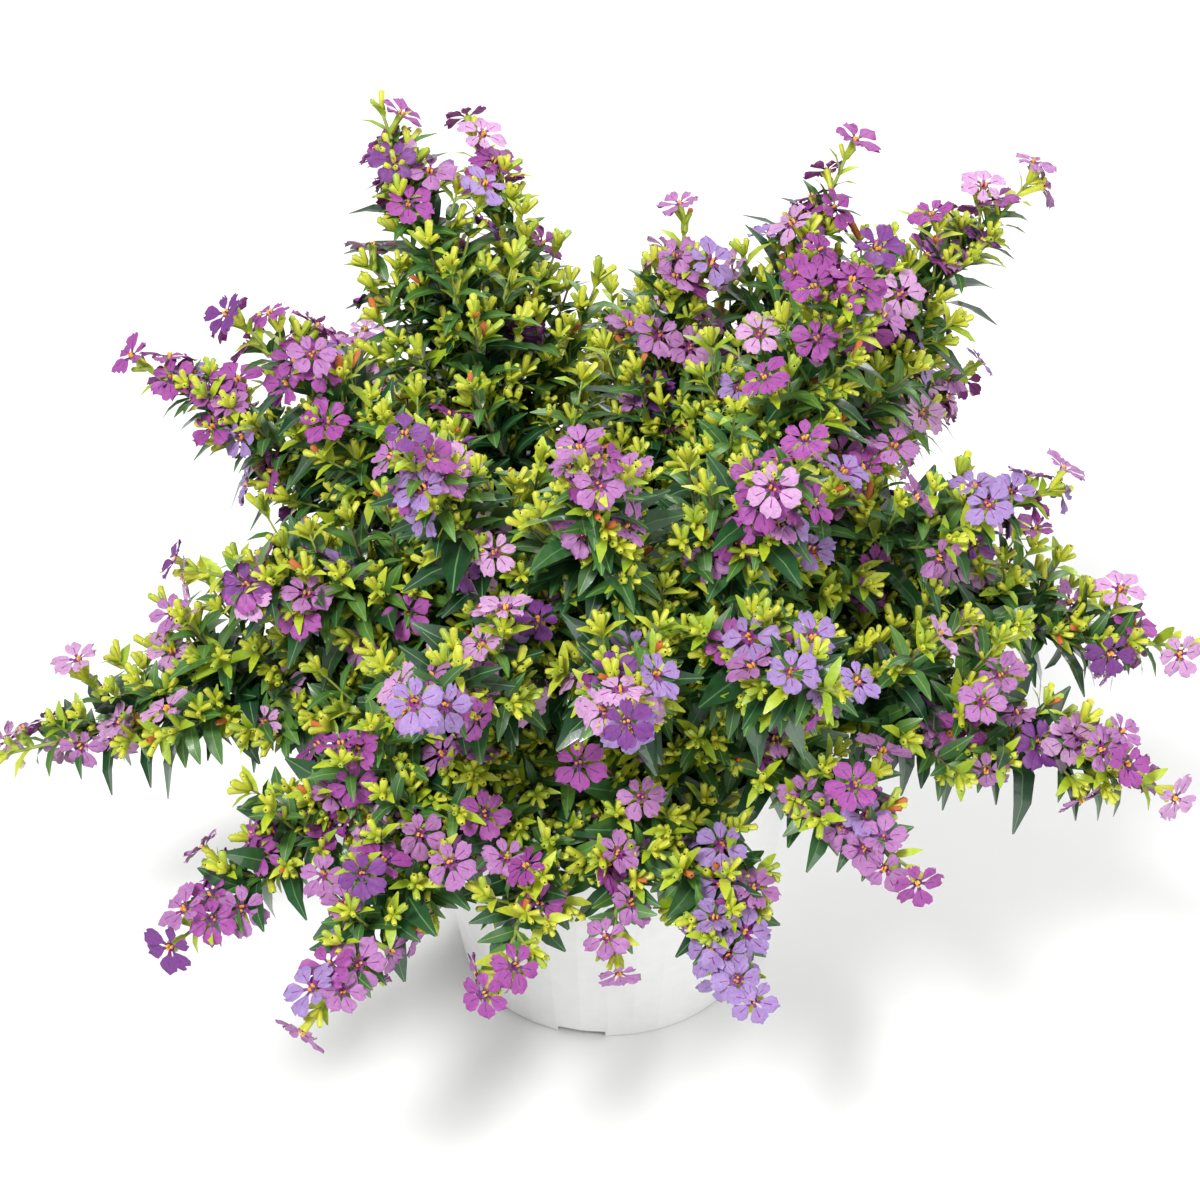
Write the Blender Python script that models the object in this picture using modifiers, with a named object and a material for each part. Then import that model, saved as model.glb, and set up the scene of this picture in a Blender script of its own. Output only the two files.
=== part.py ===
"""A potted false heather in bloom: a plain white pot of soil, a short main stem, its boughs, and the leafy,
flowering sprays that they carry. Metres, +Z up. The origin is the centre of the pot's underside, the front is -Y."""

import math
import random

import bmesh
import bpy
import numpy as np
from mathutils import Matrix, Vector
from mathutils.geometry import interpolate_bezier

OBJECT_NAME = "potted_false_heather"
SEED = 7
GAP = 0.0003
UP = Vector((0, 0, 1))

# The pot, a tapered plastic one of 12 cm
POT_HEIGHT = 0.095
POT_TOP_RADIUS = 0.0582
POT_BASE_RADIUS = 0.043
POT_WALL = 0.0016
POT_FLOOR = 0.0022
POT_STEPS = 36
RIM_HEIGHT = 0.009
RIM_PROUD = 0.0018
EDGE_ROUND = 0.0012
NOTCH_WIDTH = 0.014
NOTCH_HEIGHT = 0.0025
NOTCH_DEPTH = 0.004
NOTCH_COUNT = 4
NOTCH_FIRST = math.radians(-100)

# The soil that fills it
SOIL_LEVEL = 0.087
SOIL_STEPS = 32

# The main stem: height over the soil, radius there, and how far it leans to +X by then
STEM_PROFILE = (
    (0.0, 0.0078, 0.0),
    (0.002, 0.0062, 0.0),
    (0.006, 0.0052, 0.0002),
    (0.016, 0.0046, 0.0006),
    (0.028, 0.0041, 0.0012),
    (0.036, 0.0030, 0.0016),
)
FIRST_BOUGH = 0.010
LAST_BOUGH = 0.033

# Each spray: its tip's angle from +X in degrees, its reach from the pot's axis, and its rise over the soil
SPRAYS = (
    ("right_far", -3, 0.160, 0.030),
    ("right_low", -24, 0.158, 0.026),
    ("right_upper", -7, 0.118, 0.087),
    ("right_front_low", -52, 0.124, 0.028),
    ("front_right_low", -72, 0.118, -0.002),
    ("front_low", -89, 0.104, 0.004),
    ("front_left_low", -104, 0.116, 0.000),
    ("left_front_low", -121, 0.142, 0.001),
    ("left_low", -139, 0.146, 0.002),
    ("left_far", -171, 0.168, 0.006),
    ("left_middle", -159, 0.114, 0.080),
    ("left_upper", 163, 0.133, 0.090),
    ("left_top", 175, 0.096, 0.124),
    ("front_left", -114, 0.116, 0.088),
    ("front_middle", -88, 0.108, 0.086),
    ("front_right", -60, 0.114, 0.086),
    ("front_left_upper", -130, 0.078, 0.130),
    ("front_upper", -94, 0.072, 0.134),
    ("front_right_upper", -50, 0.076, 0.128),
    ("top_left", 132, 0.092, 0.155),
    ("top_left_back", 112, 0.100, 0.133),
    ("top_middle", 64, 0.048, 0.134),
    ("top_right", 46, 0.094, 0.140),
    ("top_right_front", 6, 0.068, 0.143),
    ("top_right_far", 30, 0.134, 0.133),
    ("back_right_low", 44, 0.150, 0.046),
    ("back_middle_low", 84, 0.150, 0.056),
    ("back_left_low", 126, 0.152, 0.044),
)
LEAVE_ANGLE = math.radians(20)
LEAVE_SHARE = 0.5
TIP_ANGLE = math.radians(-12)
TIP_SHARE = 1.25
LEAVE_PULL = 0.38
TIP_PULL = 0.3
SWINGS = (0, 14, -14, 28, -28)
PATH_POINTS = 61
BOUGH_POINTS = 13
BOUGH_STRIDE = 4
SPRAY_STRIDE = 8
LIMB_AIR = 0.0006
PLACE_STRIDE = 3
STEM_MARKS = 10
BOUGH_RADII = (0.0014, 0.0010)
SPRAY_RADII = (0.0009, 0.0005)

# What grows on a spray
NODE_STEP = 0.019
BARE_START = 0.006
LEAF_PAIR = 0.55
PAIR_TURN = 0.3
FOOT_SHARE = 0.3
MIDDLE_SHARES = (0.3, 0.5, 0.7, 0.85)
BLADE_SHARES = (0.35, 0.65, 1.0)
CROWDING = 0.0055
SHOOT_RADIUS = 0.0009
SHOOT_SHARE = 0.46
SHOOT_LONGEST = 0.046
SHOOT_SHORTEST = 0.014
SHOOT_SHARES = (1, 0.75, 0.5)
SHOOT_OPEN = math.radians(48)
SHOOT_LIFT = 0.34
TIP_OVERLAP = 0.002
LEAF_OPEN = math.radians(58)
LEAF_SHARES = (1, 0.75, 0.55)
LEAF_SIZE = (0.0125, 0.030, 0.0014)
TIP_LEAF_SIZE = (0.0095, 0.022, 0.0012)
LEAF_WIDEST = 0.4
LEAF_FOLD = 0.35
FLOWER_SIZE = (0.022, 0.012)
FLOWER_NOTCH = 0.5
FLOWER_NOTCH_DEPTH = 0.85
FLOWER_THROAT = 0.55
FLOWER_LEAN = 0.7
FLOWER_LIFT = 0.4
BLOOM_EVERY = 3
SUNK = 0.0005

# Air kept between one spray and the next, and to limbs and pot
SPACE_MARGIN = 0.0016
LIMB_MARGIN = 0.0016
POT_MARGIN = 0.002

PLASTIC = ("white_plastic", (0.86, 0.86, 0.85), 0.35)
SOIL = ("potting_soil", (0.045, 0.03, 0.02), 0.95)
OLD_BARK = ("old_bark", (0.11, 0.05, 0.06), 0.8)
YOUNG_BARK = ("young_bark", (0.16, 0.10, 0.07), 0.75)
FOLIAGE = ("foliage", (0.13, 0.30, 0.05), 0.5)


def clear_scene():
    for thing in list(bpy.data.objects):
        bpy.data.objects.remove(thing)


def collection_named(name, parent, hidden=False):
    made = bpy.data.collections.new(name)
    parent.children.link(made)
    made.hide_render = hidden
    return made


def material_of(finish):
    """The material of this finish, made once."""
    name, colour, roughness = finish
    material = bpy.data.materials.get(name)
    if material:
        return material
    material = bpy.data.materials.new(name)
    material.use_nodes = True
    shader = material.node_tree.nodes["Principled BSDF"]
    shader.inputs["Base Color"].default_value = (*colour, 1)
    shader.inputs["Roughness"].default_value = roughness
    shader.inputs["Metallic"].default_value = 0.0
    material.diffuse_color = (*colour, 1)
    return material


def add_object(name, data, collection, finish=None):
    made = bpy.data.objects.new(name, data)
    collection.objects.link(made)
    if finish:
        data.materials.clear()
        data.materials.append(material_of(finish))
    return made


def mesh_of(name, shape):
    """A mesh from a bmesh, which is freed."""
    mesh = bpy.data.meshes.new(name)
    shape.to_mesh(mesh)
    shape.free()
    return mesh


def evaluated_mesh(thing):
    """The object's mesh as its modifiers or its bevel make it."""
    return bpy.data.meshes.new_from_object(thing.evaluated_get(bpy.context.evaluated_depsgraph_get()))


def weld_caps(mesh):
    """Joins a bevelled curve's loose caps to its sides."""
    shape = bmesh.new()
    shape.from_mesh(mesh)
    bmesh.ops.remove_doubles(shape, verts=shape.verts, dist=1e-6)
    shape.to_mesh(mesh)
    shape.free()


def turned(name, profile, steps, collection, finish):
    """A profile of (radius, height) points, which runs down the outer side, turned round the Z axis."""
    mesh = bpy.data.meshes.new(name)
    corners = [(radius, 0, height) for radius, height in profile]
    mesh.from_pydata(corners, [(i, i + 1) for i in range(len(corners) - 1)], [])
    made = add_object(name, mesh, collection, finish)
    screw = made.modifiers.new("turn", "SCREW")
    screw.steps = screw.render_steps = steps
    screw.use_merge_vertices = True
    screw.merge_threshold = 1e-5
    screw.use_smooth_shade = True
    return made


def outer_radius(height):
    """The pot's outside, below its rim."""
    return POT_BASE_RADIUS + (POT_TOP_RADIUS - POT_BASE_RADIUS) * height / POT_HEIGHT


def corner(radius, height, start, turn, size):
    """A rounded corner of a profile: three points on a quarter of a circle about (radius, height)."""
    angles = [start + turn * share for share in (0, 0.5, 1)]
    return [(radius + size * math.cos(angle), height + size * math.sin(angle)) for angle in angles]


def make_pot(parts, cutters):
    rim = POT_TOP_RADIUS + RIM_PROUD
    under_rim = POT_HEIGHT - RIM_HEIGHT
    quarter = math.pi / 2
    profile = [
        (POT_TOP_RADIUS - POT_WALL, POT_HEIGHT),
        *corner(rim - EDGE_ROUND, POT_HEIGHT - EDGE_ROUND, quarter, -quarter, EDGE_ROUND),
        *corner(rim - EDGE_ROUND, under_rim + EDGE_ROUND, 0, -quarter, EDGE_ROUND),
        (outer_radius(under_rim), under_rim),
        *corner(POT_BASE_RADIUS - EDGE_ROUND, EDGE_ROUND, 0, -quarter, EDGE_ROUND),
        (0, 0),
        (0, POT_FLOOR),
        (outer_radius(POT_FLOOR) - POT_WALL, POT_FLOOR),
        (POT_TOP_RADIUS - POT_WALL, POT_HEIGHT),
    ]
    pot = turned("pot", profile, POT_STEPS, parts, PLASTIC)
    for index in range(NOTCH_COUNT):
        angle = NOTCH_FIRST + index * math.tau / NOTCH_COUNT
        shape = bmesh.new()
        bmesh.ops.create_cube(shape, size=1)
        bmesh.ops.scale(shape, verts=shape.verts, vec=(2 * NOTCH_DEPTH, NOTCH_WIDTH, 2 * NOTCH_HEIGHT))
        cutter = add_object(f"notch_cutter_{index + 1}", mesh_of("notch", shape), cutters)
        cutter.location = (POT_BASE_RADIUS * math.cos(angle), POT_BASE_RADIUS * math.sin(angle), 0)
        cutter.rotation_euler.z = angle
        cutter.hide_render = True
        cutter.display_type = "WIRE"
        cut = pot.modifiers.new(f"notch_{index + 1}", "BOOLEAN")
        cut.operation = "DIFFERENCE"
        cut.object = cutter


def make_soil(parts):
    floor = POT_FLOOR + GAP
    wall = POT_WALL + GAP / math.cos(math.pi / SOIL_STEPS)
    profile = [
        (0, SOIL_LEVEL),
        (outer_radius(SOIL_LEVEL) - wall, SOIL_LEVEL),
        (outer_radius(floor) - wall, floor),
        (0, floor),
    ]
    turned("potting_soil", profile, SOIL_STEPS, parts, SOIL)


def limb(name, points, radii, sides, collection, finish):
    """A tapering limb through the points, closed by flat ends. Its sides are an even number, from 4."""
    curve = bpy.data.curves.new(name, "CURVE")
    curve.dimensions = "3D"
    curve.bevel_depth = 1
    curve.bevel_resolution = sides // 2 - 2
    curve.use_fill_caps = True
    spline = curve.splines.new("POLY")
    spline.points.add(len(points) - 1)
    for place, point, radius in zip(spline.points, points, radii):
        place.co = (*point, 1)
        place.radius = radius
    guide = add_object(name + "_guide", curve, collection)
    mesh = evaluated_mesh(guide)
    weld_caps(mesh)
    mesh.name = name
    bpy.data.objects.remove(guide)
    made = add_object(name, mesh, collection, finish)
    mesh.shade_smooth()
    mesh.set_sharp_from_angle(angle=math.radians(60))
    return made


def stem_at(height):
    """The main stem's radius and its centre, at this height over the soil."""
    heights, radii, leans = zip(*STEM_PROFILE)
    radius = float(np.interp(height, heights, radii))
    return radius, Vector((float(np.interp(height, heights, leans)), 0, SOIL_LEVEL + GAP + height))


def make_main_stem(parts):
    points = [stem_at(height)[1] for height, _, _ in STEM_PROFILE]
    radii = [radius for _, radius, _ in STEM_PROFILE]
    limb("main_stem", points, radii, 12, parts, OLD_BARK)


def steepness(spray):
    _, _, reach, rise = spray
    return math.atan2(rise, reach)


def outward(degrees):
    return Vector((math.cos(math.radians(degrees)), math.sin(math.radians(degrees)), 0))


def path_of(spray, height, swing):
    """The smooth line of a bough and its spray, from the main stem's side out to the spray's tip.

    The bough leaves at this height over the soil, swung round the stem by so many degrees from its tip's side.
    """
    _, degrees, reach, rise = spray
    radius, centre = stem_at(height)
    leave = LEAVE_ANGLE + LEAVE_SHARE * steepness(spray)
    first = outward(degrees + swing)
    start = centre + first * (radius + GAP + BOUGH_RADII[0] * math.sin(leave))
    out = outward(degrees)
    tip = out * reach + UP * (SOIL_LEVEL + rise)
    length = (tip - start).length
    end = TIP_ANGLE + TIP_SHARE * steepness(spray)
    leave_handle = start + (first * math.cos(leave) + UP * math.sin(leave)) * LEAVE_PULL * length
    tip_handle = tip - (out * math.cos(end) + UP * math.sin(end)) * TIP_PULL * length
    return interpolate_bezier(start, leave_handle, tip_handle, tip, PATH_POINTS)


def limb_radii():
    """The radius at each point of a path, along its bough and then its spray."""
    past = PATH_POINTS - BOUGH_POINTS
    return np.concatenate([np.linspace(*BOUGH_RADII, BOUGH_POINTS), np.linspace(*SPRAY_RADII, past)])


def air_between(path, placed):
    """The least air between this path's limbs and those already placed."""
    radii = limb_radii()
    both = radii[:, None] + radii[None, :]
    points = np.array(path)
    return min(
        (np.linalg.norm(points[:, None] - other[None, :], axis=2) - both).min() for other in placed
    )


def all_paths():
    """Every spray's path. The flattest leaves the stem first and lowest, each at the free place nearest its own."""
    ranked = sorted(SPRAYS, key=steepness)
    heights = np.linspace(FIRST_BOUGH, LAST_BOUGH, len(ranked))
    paths = {}
    placed = []
    for own, spray in zip(heights, ranked):
        places = [(height, swing) for height in heights[::PLACE_STRIDE] for swing in SWINGS]
        places.sort(key=lambda place: abs(place[0] - own) / BOUGH_RADII[0] + abs(place[1]) / SWINGS[1])
        tried = []
        for height, swing in places:
            path = path_of(spray, float(height), swing)
            air = air_between(path, placed) if placed else 1
            tried.append((air, path))
            if air > LIMB_AIR:
                break
        best = tried[-1] if tried[-1][0] > LIMB_AIR else max(tried, key=lambda one: one[0])
        placed.append(np.array(best[1]))
        paths[spray[0]] = best[1]
    return [paths[spray[0]] for spray in SPRAYS]


def graded(count, ends):
    return [ends[0] + (ends[1] - ends[0]) * index / (count - 1) for index in range(count)]


def make_bough(spray, path, parts):
    points = path[:BOUGH_POINTS:BOUGH_STRIDE]
    limb(f"bough_{spray[0]}", points, graded(len(points), BOUGH_RADII), 6, parts, YOUNG_BARK)


def make_spray_stem(spray, path, parts):
    """The stem of a mass of foliage. It starts a gap away from its bough's end, face to face with it."""
    last = BOUGH_POINTS - 1
    along = (path[last] - path[last - BOUGH_STRIDE]).normalized()
    points = [path[last] + along * GAP, *path[last + SPRAY_STRIDE :: SPRAY_STRIDE]]
    return limb(f"spray_{spray[0]}", points, graded(len(points), SPRAY_RADII), 4, parts, FOLIAGE)


def unit_leaf():
    """A leaf of 8 faces, 1 wide, 1 long along +Y and 1 thick, with its edges folded up from the midrib."""
    shape = bmesh.new()
    bmesh.ops.create_uvsphere(shape, u_segments=4, v_segments=2, radius=1)
    for vert in shape.verts:
        across, above, along = vert.co
        if abs(along) > 0.5:
            vert.co = (0, max(along, 0), 0)
        else:
            vert.co = (across / 2, LEAF_WIDEST, LEAF_FOLD * abs(across) - above / 2)
    return mesh_of("leaf", shape)


def unit_flower():
    """A six-petalled funnel, 1 across and 1 deep along +Y, from the foot of its calyx to its petals' tips."""
    shape = bmesh.new()
    bmesh.ops.create_uvsphere(shape, u_segments=12, v_segments=2, radius=1)
    for vert in shape.verts:
        x, y, z = vert.co
        if abs(z) > 0.5:
            vert.co = (0, FLOWER_THROAT if z > 0 else 0, 0)
        else:
            petal = round(math.atan2(y, x) / math.tau * 12) % 2 == 0
            spread = 0.5 if petal else 0.5 * FLOWER_NOTCH
            vert.co = (x * spread, 1 if petal else FLOWER_NOTCH_DEPTH, -y * spread)
    return mesh_of("flower", shape)


def unit_shoot():
    """A three-sided twig, 1 long along +Y, that tapers from a radius of 1 to half of it."""
    shape = bmesh.new()
    bmesh.ops.create_cone(shape, segments=3, radius1=1, radius2=0.5, depth=1, cap_ends=True)
    bmesh.ops.translate(shape, verts=shape.verts, vec=(0, 0, 0.5))
    bmesh.ops.rotate(shape, verts=shape.verts, matrix=Matrix.Rotation(-math.pi / 2, 3, "X"))
    return mesh_of("shoot", shape)


def placement(base, along, facing, size):
    """The matrix that puts a unit shape's foot at base, its +Y along the way and its +Z to the side it faces."""
    across = along.cross(facing).normalized()
    face = across.cross(along)
    turn = Matrix((across, along, face)).transposed().to_4x4()
    return Matrix.Translation(base) @ turn @ Matrix.Diagonal((*size, 1))


class Space:
    """Which points belong to a spray: those nearer to its stem than to any other, and clear of limbs and pot."""

    def __init__(self, paths):
        self.paths = [np.array(path) for path in paths]
        self.boughs = np.concatenate([path[:BOUGH_POINTS] for path in self.paths])
        heights = np.linspace(0, STEM_PROFILE[-1][0], STEM_MARKS)
        self.stem = [(radius, np.array(centre)) for radius, centre in map(stem_at, heights)]

    def nearest(self, path, point):
        return np.sqrt(((path - point) ** 2).sum(axis=1)).min()

    def clear_of_pot(self, point):
        radius = math.hypot(point[0], point[1])
        rim = POT_TOP_RADIUS + RIM_PROUD
        return (
            point[2] > POT_HEIGHT + POT_MARGIN
            or radius > rim + POT_MARGIN
            or (radius < POT_TOP_RADIUS - POT_WALL - POT_MARGIN and point[2] > SOIL_LEVEL + POT_MARGIN)
        )

    def clear_of_limbs(self, point):
        if self.nearest(self.boughs, point) < BOUGH_RADII[0] + LIMB_MARGIN:
            return False
        return all(np.linalg.norm(point - centre) > radius + LIMB_MARGIN for radius, centre in self.stem)

    def holds(self, owner, points):
        """Whether all the points lie in the owner's space."""
        for point in map(np.array, points):
            away = [self.nearest(path, point) for path in self.paths]
            own = away.pop(owner)
            if own > min(away) - SPACE_MARGIN or not self.clear_of_pot(point) or not self.clear_of_limbs(point):
                return False
        return True


def points_of(mesh, matrix):
    """The shape's corners in place and points along its middle, without its foot, which is sunk in what carries it."""
    corners = [matrix @ vert.co for vert in mesh.vertices if vert.co.y > FOOT_SHARE]
    return corners + [matrix @ Vector((0, share, 0)) for share in MIDDLE_SHARES]


def sideways(along, roll):
    """A direction square to the way along, turned round it by roll."""
    flat = along.cross(UP)
    if flat.length < 0.1:
        flat = along.cross(Vector((0, 1, 0)))
    flat.normalize()
    return flat * math.cos(roll) + flat.cross(along) * math.sin(roll)


class Grower:
    """Grows one spray's twigs, leaves and flowers by a seeded rule, as loose pieces for one union."""

    def __init__(self, owner, space, shapes, pieces):
        self.owner = owner
        self.space = space
        self.shapes = shapes
        self.pieces = pieces
        self.blades = []
        self.chance = random.Random(SEED * 100 + owner)

    def add(self, kind, base, along, facing, size):
        """Places a shape with its foot sunk below base. It is left out where it would leave the spray's space."""
        mesh = self.shapes[kind]
        matrix = placement(base - along * SUNK, along, facing, size)
        if not self.space.holds(self.owner, points_of(mesh, matrix)):
            return False
        piece = add_object(kind, mesh, self.pieces)
        piece.matrix_world = matrix
        return True

    def leaf(self, base, along, side, size):
        """A leaf that opens from the way along to the side. Where room is short it is smaller and more upright."""
        scale = self.chance.uniform(0.9, 1.1)
        for share in LEAF_SHARES:
            opening = LEAF_OPEN * share
            way = (along * math.cos(opening) + side * math.sin(opening)).normalized()
            across, length, thick = size[0] * scale * share, size[1] * scale * share, size[2]
            if self.crowded(base, way, length):
                continue
            if self.add("leaf", base, way, UP, (across, length, thick)):
                self.keep(base, way, length)
                return

    def flower(self, base, along):
        across, depth = FLOWER_SIZE
        if not self.crowded(base, along, depth) and self.add("flower", base, along, UP, (across, depth, across)):
            self.keep(base, along, depth)

    def blade(self, base, along, length):
        return [np.array(base + along * length * share) for share in BLADE_SHARES]

    def crowded(self, base, along, length):
        """Whether a leaf or flower here would run into one that is already there."""
        new = self.blade(base, along, length)
        return any(np.linalg.norm(a - b) < CROWDING for a in new for b in self.blades)

    def keep(self, base, along, length):
        self.blades += self.blade(base, along, length)

    def shoot(self, base, along, length, blooms):
        """A side shoot, with a pair of leaves half way, a smaller pair near its tip, and a flower or leaf past them."""
        for share in SHOOT_SHARES:
            reach = length * share
            size = (SHOOT_RADIUS, reach, SHOOT_RADIUS)
            if reach > SHOOT_SHORTEST and self.add("shoot", base, along, UP, size):
                break
        else:
            return
        roll = self.chance.uniform(0, math.tau)
        tip = base + along * (reach - TIP_OVERLAP)
        if blooms:
            way = along + sideways(along, roll) * FLOWER_LEAN + UP * FLOWER_LIFT
            self.flower(tip, way.normalized())
        else:
            self.leaf(tip, along, along, TIP_LEAF_SIZE)
        for turn in (0, math.pi):
            side = sideways(along, roll + math.pi / 2 + turn)
            self.leaf(base + along * reach * LEAF_PAIR, along, side, LEAF_SIZE)

    def along_stem(self, path):
        """Opposite pairs along the stem, each pair square to the last: a shoot facing a leaf, and leaves near the tip."""
        stem = path[BOUGH_POINTS - 1 :]
        steps = [(b - a).length for a, b in zip(stem, stem[1:])]
        total = sum(steps)
        marks = np.cumsum([0, *steps])
        tip = stem[-1]
        along = (stem[-1] - stem[-2]).normalized()
        roll = self.chance.uniform(0, math.tau)
        self.leaf(tip - along * (TIP_LEAF_SIZE[1] - TIP_OVERLAP), along, along, TIP_LEAF_SIZE)
        self.flower(tip - along * FLOWER_SIZE[1], (along + sideways(along, roll)).normalized())
        count = int((total - BARE_START) / NODE_STEP)
        for index in range(count):
            place = BARE_START + index * NODE_STEP
            step = min(int(np.searchsorted(marks, place)), len(stem) - 1)
            along = (stem[step] - stem[step - 1]).normalized()
            base = stem[step] - along * (float(marks[step]) - place)
            roll += math.pi / 2 + self.chance.uniform(-PAIR_TURN, PAIR_TURN)
            left = total - place
            for turn in (0, 1):
                side = sideways(along, roll + turn * math.pi)
                length = min(SHOOT_LONGEST, SHOOT_SHARE * left) * self.chance.uniform(0.8, 1.1)
                if turn == index % 2 and length > SHOOT_SHORTEST:
                    way = along * math.cos(SHOOT_OPEN) + side * math.sin(SHOOT_OPEN) + UP * SHOOT_LIFT
                    self.shoot(base, way.normalized(), length, index % BLOOM_EVERY != 0)
                else:
                    self.leaf(base, along, side, LEAF_SIZE)


def fuse(stem, pieces):
    """Joins the loose pieces to the stem in one union, and keeps the one body that holds the stem."""
    union = stem.modifiers.new("fuse", "BOOLEAN")
    union.operation = "UNION"
    union.operand_type = "COLLECTION"
    union.collection = pieces
    union.solver = "MANIFOLD"
    mesh = evaluated_mesh(stem)
    stem.modifiers.clear()
    for piece in list(pieces.objects):
        bpy.data.objects.remove(piece)
    bpy.data.collections.remove(pieces)
    finish = stem.data.materials[0]
    stem.data = mesh
    mesh.materials.clear()
    mesh.materials.append(finish)
    keep_largest(mesh)
    mesh.shade_flat()


def keep_largest(mesh):
    """Drops loose scraps, and fills the hollows that a union sealed, by keeping only the largest shell."""
    shape = bmesh.new()
    shape.from_mesh(mesh)
    left = set(shape.verts)
    shells = []
    while left:
        shell = []
        edge = [left.pop()]
        while edge:
            vert = edge.pop()
            shell.append(vert)
            for link in vert.link_edges:
                other = link.other_vert(vert)
                if other in left:
                    left.remove(other)
                    edge.append(other)
        shells.append(shell)
    shells.sort(key=len)
    for shell in shells[:-1]:
        bmesh.ops.delete(shape, geom=shell, context="VERTS")
    shape.to_mesh(mesh)
    shape.free()


def make_plant(parts):
    paths = all_paths()
    space = Space(paths)
    shapes = {"leaf": unit_leaf(), "flower": unit_flower(), "shoot": unit_shoot()}
    make_main_stem(parts)
    for spray, path in zip(SPRAYS, paths):
        make_bough(spray, path, parts)
    for owner, (spray, path) in enumerate(zip(SPRAYS, paths)):
        stem = make_spray_stem(spray, path, parts)
        pieces = collection_named(f"pieces_{spray[0]}", bpy.context.scene.collection)
        Grower(owner, space, shapes, pieces).along_stem(path)
        fuse(stem, pieces)


def main():
    clear_scene()
    parts = collection_named(OBJECT_NAME, bpy.context.scene.collection)
    cutters = collection_named("cutters", bpy.context.scene.collection, hidden=True)
    make_pot(parts, cutters)
    make_soil(parts)
    make_plant(parts)


main()
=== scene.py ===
"""The looks of the potted false heather: fine growth on its limbs, bark, soil, pot, light and camera."""

import math
import random

import bpy
import numpy as np
from mathutils import Matrix, Vector
from mathutils.geometry import interpolate_bezier


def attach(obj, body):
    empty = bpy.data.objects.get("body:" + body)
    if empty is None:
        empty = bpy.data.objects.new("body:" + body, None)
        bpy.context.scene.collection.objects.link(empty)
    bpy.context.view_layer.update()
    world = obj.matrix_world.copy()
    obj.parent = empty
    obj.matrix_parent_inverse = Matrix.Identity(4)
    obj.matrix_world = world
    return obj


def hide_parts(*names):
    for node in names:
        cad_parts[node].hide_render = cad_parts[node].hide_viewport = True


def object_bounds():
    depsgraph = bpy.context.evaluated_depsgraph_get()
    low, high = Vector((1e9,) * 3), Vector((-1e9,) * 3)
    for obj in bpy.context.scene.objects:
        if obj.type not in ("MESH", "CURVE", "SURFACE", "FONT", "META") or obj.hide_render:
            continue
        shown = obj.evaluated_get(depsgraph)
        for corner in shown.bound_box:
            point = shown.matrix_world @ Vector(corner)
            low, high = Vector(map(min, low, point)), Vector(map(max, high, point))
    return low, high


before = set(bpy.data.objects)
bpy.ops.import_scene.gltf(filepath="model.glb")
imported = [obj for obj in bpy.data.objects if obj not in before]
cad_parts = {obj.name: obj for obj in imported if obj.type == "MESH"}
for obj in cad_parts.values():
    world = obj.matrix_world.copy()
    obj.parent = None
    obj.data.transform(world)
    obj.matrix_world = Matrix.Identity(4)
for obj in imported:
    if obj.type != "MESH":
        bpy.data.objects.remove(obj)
CAD_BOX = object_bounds()

# Lengths are in metres. Where a name stands for (low, high), a value is drawn between the two
SEED = 11
SPRAY_SEED = SEED * 1000
BARK_SEED = SEED + 5
SOIL_SEED = SEED + 9
UP = Vector((0, 0, 1))
DOWN = Vector((0, 0, -1))
PIECE_LIMIT = 190000

# The camera: its height angle, its distance from what it aims at, and its lens
CAMERA_ELEVATION = math.radians(37)
CAMERA_DISTANCE = 0.90
CAMERA_AIM = Vector((-0.002, 0, 0.1264))
CAMERA_LENS = 97.5
SENSOR_WIDTH = 36
NEAREST_SEEN = 0.01

# The studio: a white floor under a white sky, and lights as (name, place, size, power)
FLOOR_HALF = 4
SKY_STRENGTH = 0.62
LIGHT_AIM = Vector((0, 0, 0.14))
LIGHTS = (
    ("key", (-0.5, -0.8, 1.4), 0.4, 22),
    ("fill", (0.9, -0.6, 0.7), 0.8, 5),
    ("back", (0.3, 0.9, 1.0), 0.6, 7),
)

# The limbs, as the solids have them. The stem's rows are (height, radius, lean to the right)
GAP = 0.0003
POT_HEIGHT = 0.095
POT_TOP_RADIUS = 0.0582
POT_WALL = 0.0016
RIM_PROUD = 0.0018
SOIL_LEVEL = 0.087
STEM_PROFILE = (
    (0.0, 0.0078, 0.0),
    (0.002, 0.0062, 0.0),
    (0.006, 0.0052, 0.0002),
    (0.016, 0.0046, 0.0006),
    (0.028, 0.0041, 0.0012),
    (0.036, 0.0030, 0.0016),
)
FIRST_BOUGH = 0.010
LAST_BOUGH = 0.033

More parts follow.
